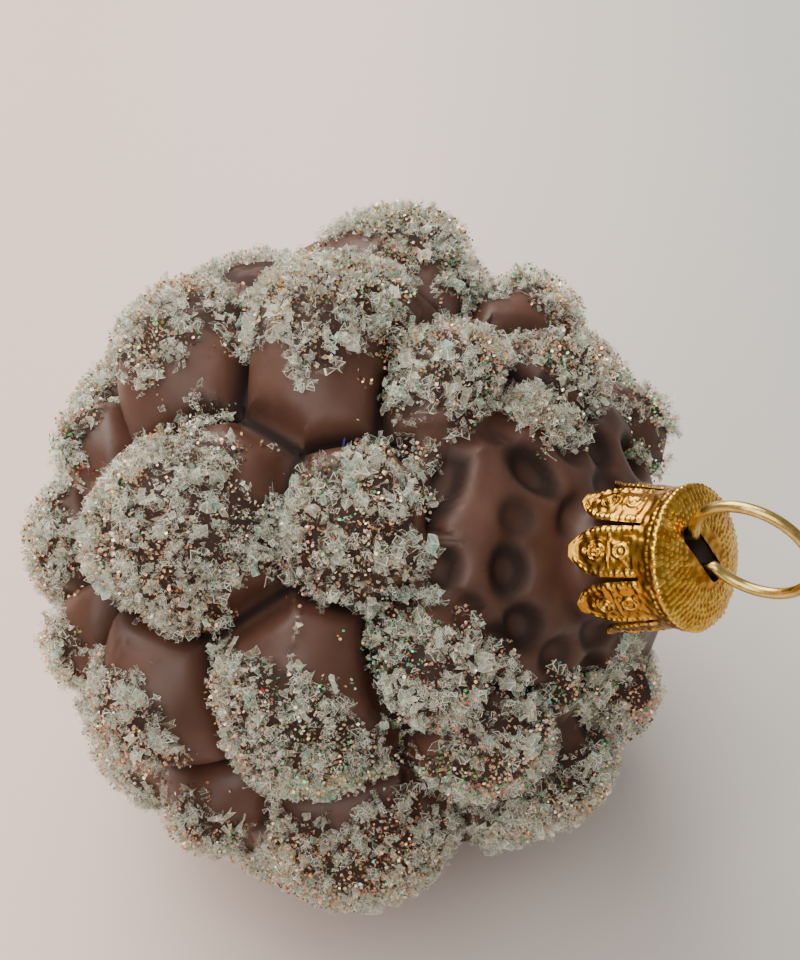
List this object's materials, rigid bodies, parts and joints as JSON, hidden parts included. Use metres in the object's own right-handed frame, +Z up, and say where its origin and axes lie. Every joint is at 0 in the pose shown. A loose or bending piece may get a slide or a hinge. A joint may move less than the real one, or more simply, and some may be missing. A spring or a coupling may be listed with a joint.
{
  "type": "glass pine-cone ornament",
  "caption": "Blown-glass pine cone with rounded scales, crusts of flakes and glitter on their tips, a gold crown cap and a wire hanging ring, lying on its side",
  "frame": {"origin": "bottom centre of the bounding box, on the surface that the ornament lies on", "axes": "+Z up; the ornament lies on its side with its neck and cap pointing towards +X, -Y and up"},
  "size_m": [0.0758, 0.071, 0.0703],
  "materials": {
    "brown_lacquered_glass": "blown glass under satin dark brown lacquer",
    "glitter_crust": "clear crumpled film flakes and fine coloured glitter set in glue",
    "gold_cap": "thin stamped metal, bright gold colour",
    "pale_brass_wire": "drawn round wire, satin pale gold"
  },
  "bodies": {
    "root": {"glass_body": "brown_lacquered_glass", "glitter_crust_01": "glitter_crust", "glitter_crust_02": "glitter_crust", "glitter_crust_03": "glitter_crust", "glitter_crust_04": "glitter_crust", "glitter_crust_05": "glitter_crust", "glitter_crust_06": "glitter_crust", "glitter_crust_07": "glitter_crust", "glitter_crust_08": "glitter_crust", "glitter_crust_09": "glitter_crust", "glitter_crust_10": "glitter_crust", "glitter_crust_11": "glitter_crust", "glitter_crust_12": "glitter_crust", "glitter_crust_13": "glitter_crust", "glitter_crust_14": "glitter_crust", "glitter_crust_15": "glitter_crust", "glitter_crust_16": "glitter_crust", "glitter_crust_17": "glitter_crust", "glitter_crust_18": "glitter_crust", "glitter_crust_19": "glitter_crust", "glitter_crust_20": "glitter_crust", "glitter_crust_21": "glitter_crust", "glitter_crust_22": "glitter_crust", "glitter_crust_23": "glitter_crust", "glitter_crust_24": "glitter_crust", "glitter_crust_25": "glitter_crust", "glitter_crust_26": "glitter_crust", "glitter_crust_27": "glitter_crust", "glitter_crust_28": "glitter_crust", "glitter_crust_29": "glitter_crust", "glitter_crust_30": "glitter_crust", "glitter_crust_31": "glitter_crust", "glitter_crust_32": "glitter_crust", "glitter_crust_33": "glitter_crust", "glitter_crust_34": "glitter_crust", "glitter_crust_35": "glitter_crust", "glitter_crust_36": "glitter_crust", "glitter_crust_37": "glitter_crust", "glitter_crust_38": "glitter_crust", "glitter_crust_39": "glitter_crust", "glitter_crust_40": "glitter_crust", "glitter_crust_41": "glitter_crust", "cap": "gold_cap", "hanger": "pale_brass_wire"}
  },
  "joints": []
}
